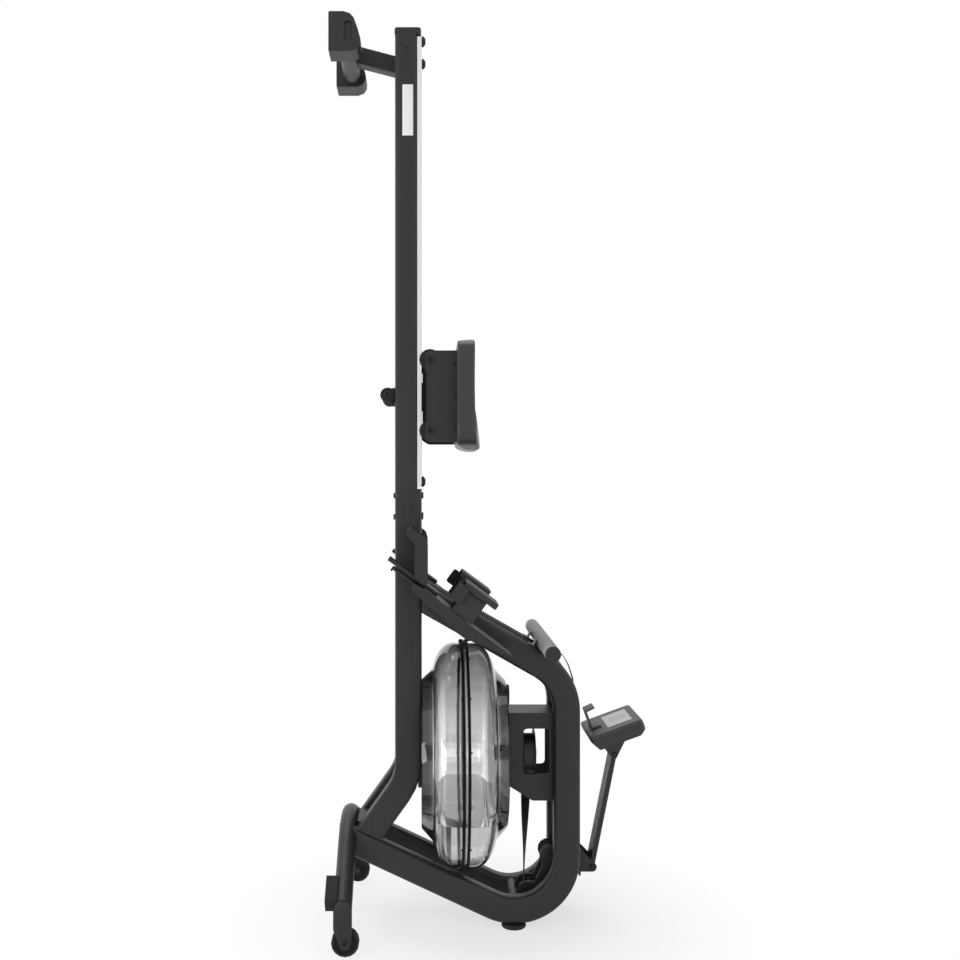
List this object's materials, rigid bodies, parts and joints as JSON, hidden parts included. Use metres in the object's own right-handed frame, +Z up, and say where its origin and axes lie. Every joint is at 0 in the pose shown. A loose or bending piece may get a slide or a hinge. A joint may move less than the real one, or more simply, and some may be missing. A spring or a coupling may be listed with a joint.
{
  "type": "water rowing machine",
  "caption": "Water rowing machine parked upright: long steel rails with a padded rolling seat, smoked water tank with impeller, strap handle, footrests, fold-down console mast and wheels.",
  "frame": {"origin": "on the floor of the storage pose, in the middle of the machine's bounding box", "axes": "+X away from the floor that the machine stands on in use, towards the seat's top and the console; +Y across the machine, from the near rail to the far rail; +Z up the rail, from the front end with the tank to the rear stabilizer"},
  "size_m": [0.7152, 0.528, 2.0546],
  "materials": {
    "paint": "satin charcoal powder coat",
    "plastic": "fine grained",
    "rubber": "matte",
    "track": "satin anodised",
    "steel": "bright",
    "tank": "clear smoked polycarbonate",
    "webbing": "woven nylon",
    "foam": "soft closed cell foam",
    "display": "grey liquid crystal"
  },
  "bodies": {
    "frame": {"loop_near": "paint", "loop_far": "paint", "post_near": "paint", "post_far": "paint", "rail_near": "paint", "rail_track_near": "track", "rail_end_cap_near": "plastic", "rail_far": "paint", "rail_track_far": "track", "rail_end_cap_far": "plastic", "rear_stabilizer": "paint", "rear_foot_near": "rubber", "rear_foot_far": "rubber", "front_stabilizer": "paint", "front_pad_near": "rubber", "front_pad_far": "rubber", "front_saddle": "plastic", "storage_foot_near": "rubber", "storage_foot_far": "rubber", "tank_mount_plate": "paint", "tank_lower_shell": "tank", "tank_upper_shell": "tank", "tank_plug": "plastic", "tank_ring_lower": "plastic", "tank_ring_upper": "plastic", "drive_bracket": "paint", "guide_roller_axle": "steel", "idler_bracket": "paint", "strap": "webbing", "footboard_near": "plastic", "toe_strap_near": "webbing", "toe_buckle_near": "plastic", "footboard_far": "plastic", "toe_strap_far": "webbing", "toe_buckle_far": "plastic", "mast_bracket": "plastic"},
    "impeller": {"impeller": "plastic"},
    "reel": {"strap_reel": "plastic"},
    "idler_lower": {"idler_lower": "plastic"},
    "idler_upper": {"idler_upper": "plastic"},
    "guide_roller": {"guide_roller": "plastic"},
    "handle": {"handle_core": "plastic", "handle_grip": "foam"},
    "seat": {"seat_pad": "foam", "seat_carriage": "plastic"},
    "seat_roller_low_near": {"seat_roller_low_near": "rubber"},
    "seat_roller_high_near": {"seat_roller_high_near": "rubber"},
    "seat_roller_low_far": {"seat_roller_low_far": "rubber"},
    "seat_roller_high_far": {"seat_roller_high_far": "rubber"},
    "seat_lower_roller_near": {"seat_lower_roller_near": "rubber"},
    "seat_lower_roller_far": {"seat_lower_roller_far": "rubber"},
    "wheel_near": {"transport_wheel_near": "rubber"},
    "wheel_far": {"transport_wheel_far": "rubber"},
    "heel_cup_near": {"heel_cup_near": "plastic"},
    "heel_cup_far": {"heel_cup_far": "plastic"},
    "mast": {"mast": "paint"},
    "console": {"console_housing": "plastic", "console_display": "display", "phone_holder": "plastic"}
  },
  "joints": [
    {"name": "handle_pull", "type": "slide", "parent": "frame", "child": "handle", "axis": [0, 0, 1], "range_m": [0, 1.1], "deforming": ["strap"]},
    {"name": "reel_turn", "type": "hinge", "parent": "frame", "child": "reel", "pos_m": [0.09742, 0, 0.379], "axis": [1, 0, 0], "range_deg": [-1345, 5]},
    {"name": "idler_lower_turn", "type": "hinge", "parent": "frame", "child": "idler_lower", "pos_m": [0.10042, 0, 0.068], "axis": [0, 1, 0], "range_deg": [-4815, 5]},
    {"name": "idler_upper_turn", "type": "hinge", "parent": "frame", "child": "idler_upper", "pos_m": [0.14602, 0, 0.147], "axis": [0, 1, 0], "range_deg": [-3140, 5]},
    {"name": "guide_roller_turn", "type": "hinge", "parent": "frame", "child": "guide_roller", "pos_m": [0.17242, 0, 0.515], "axis": [0, 1, 0], "range_deg": [-2210, 5]},
    {"name": "impeller_spin", "type": "hinge", "parent": "frame", "child": "impeller", "pos_m": [-0.05398, 0, 0.379], "axis": [1, 0, 0], "continuous": true},
    {"name": "seat_slide", "type": "slide", "parent": "frame", "child": "seat", "axis": [0, 0, 1], "range_m": [-0.08, 0.69]},
    {"name": "seat_roller_low_near_turn", "type": "hinge", "parent": "seat", "child": "seat_roller_low_near", "pos_m": [-0.13258, -0.0751, 1.129], "axis": [0, 1, 0], "range_deg": [-2120, 250]},
    {"name": "seat_roller_high_near_turn", "type": "hinge", "parent": "seat", "child": "seat_roller_high_near", "pos_m": [-0.13258, -0.0751, 1.29], "axis": [0, 1, 0], "range_deg": [-2120, 250]},
    {"name": "seat_roller_low_far_turn", "type": "hinge", "parent": "seat", "child": "seat_roller_low_far", "pos_m": [-0.13258, 0.0751, 1.129], "axis": [0, 1, 0], "range_deg": [-2120, 250]},
    {"name": "seat_roller_high_far_turn", "type": "hinge", "parent": "seat", "child": "seat_roller_high_far", "pos_m": [-0.13258, 0.0751, 1.29], "axis": [0, 1, 0], "range_deg": [-2120, 250]},
    {"name": "seat_lower_roller_near_turn", "type": "hinge", "parent": "seat", "child": "seat_lower_roller_near", "pos_m": [-0.22868, -0.072, 1.2105], "axis": [0, 1, 0], "range_deg": [-275, 2355]},
    {"name": "seat_lower_roller_far_turn", "type": "hinge", "parent": "seat", "child": "seat_lower_roller_far", "pos_m": [-0.22868, 0.072, 1.2105], "axis": [0, 1, 0], "range_deg": [-275, 2355]},
    {"name": "wheel_near_turn", "type": "hinge", "parent": "frame", "child": "wheel_near", "pos_m": [-0.31398, -0.2367, 0.03], "axis": [0, 1, 0], "continuous": true},
    {"name": "wheel_far_turn", "type": "hinge", "parent": "frame", "child": "wheel_far", "pos_m": [-0.31398, 0.2367, 0.03], "axis": [0, 1, 0], "continuous": true},
    {"name": "heel_cup_near_slide", "type": "slide", "parent": "frame", "child": "heel_cup_near", "axis": [0.8049, 0, -0.5934], "range_m": [-0.03, 0.035]},
    {"name": "heel_cup_far_slide", "type": "slide", "parent": "frame", "child": "heel_cup_far", "axis": [0.8049, 0, -0.5934], "range_m": [-0.03, 0.035]},
    {"name": "mast_fold", "type": "hinge", "parent": "frame", "child": "mast", "pos_m": [0.24282, 0, 0.1224], "axis": [0, 1, 0], "range_deg": [0, 75]},
    {"name": "console_tilt", "type": "hinge", "parent": "mast", "child": "console", "pos_m": [0.29482, 0, 0.3821], "axis": [0, 1, 0], "range_deg": [-10, 60]}
  ],
  "couplings": [
    {"joint": "reel_turn", "follows": "handle_pull", "rad_per_m": -21.23},
    {"joint": "idler_lower_turn", "follows": "handle_pull", "rad_per_m": -76.3},
    {"joint": "idler_upper_turn", "follows": "handle_pull", "rad_per_m": -49.75},
    {"joint": "guide_roller_turn", "follows": "handle_pull", "rad_per_m": -34.97},
    {"joint": "seat_roller_low_near_turn", "follows": "seat_slide", "rad_per_m": -53.48},
    {"joint": "seat_roller_high_near_turn", "follows": "seat_slide", "rad_per_m": -53.48},
    {"joint": "seat_roller_low_far_turn", "follows": "seat_slide", "rad_per_m": -53.48},
    {"joint": "seat_roller_high_far_turn", "follows": "seat_slide", "rad_per_m": -53.48},
    {"joint": "seat_lower_roller_near_turn", "follows": "seat_slide", "rad_per_m": 59.52},
    {"joint": "seat_lower_roller_far_turn", "follows": "seat_slide", "rad_per_m": 59.52}
  ]
}
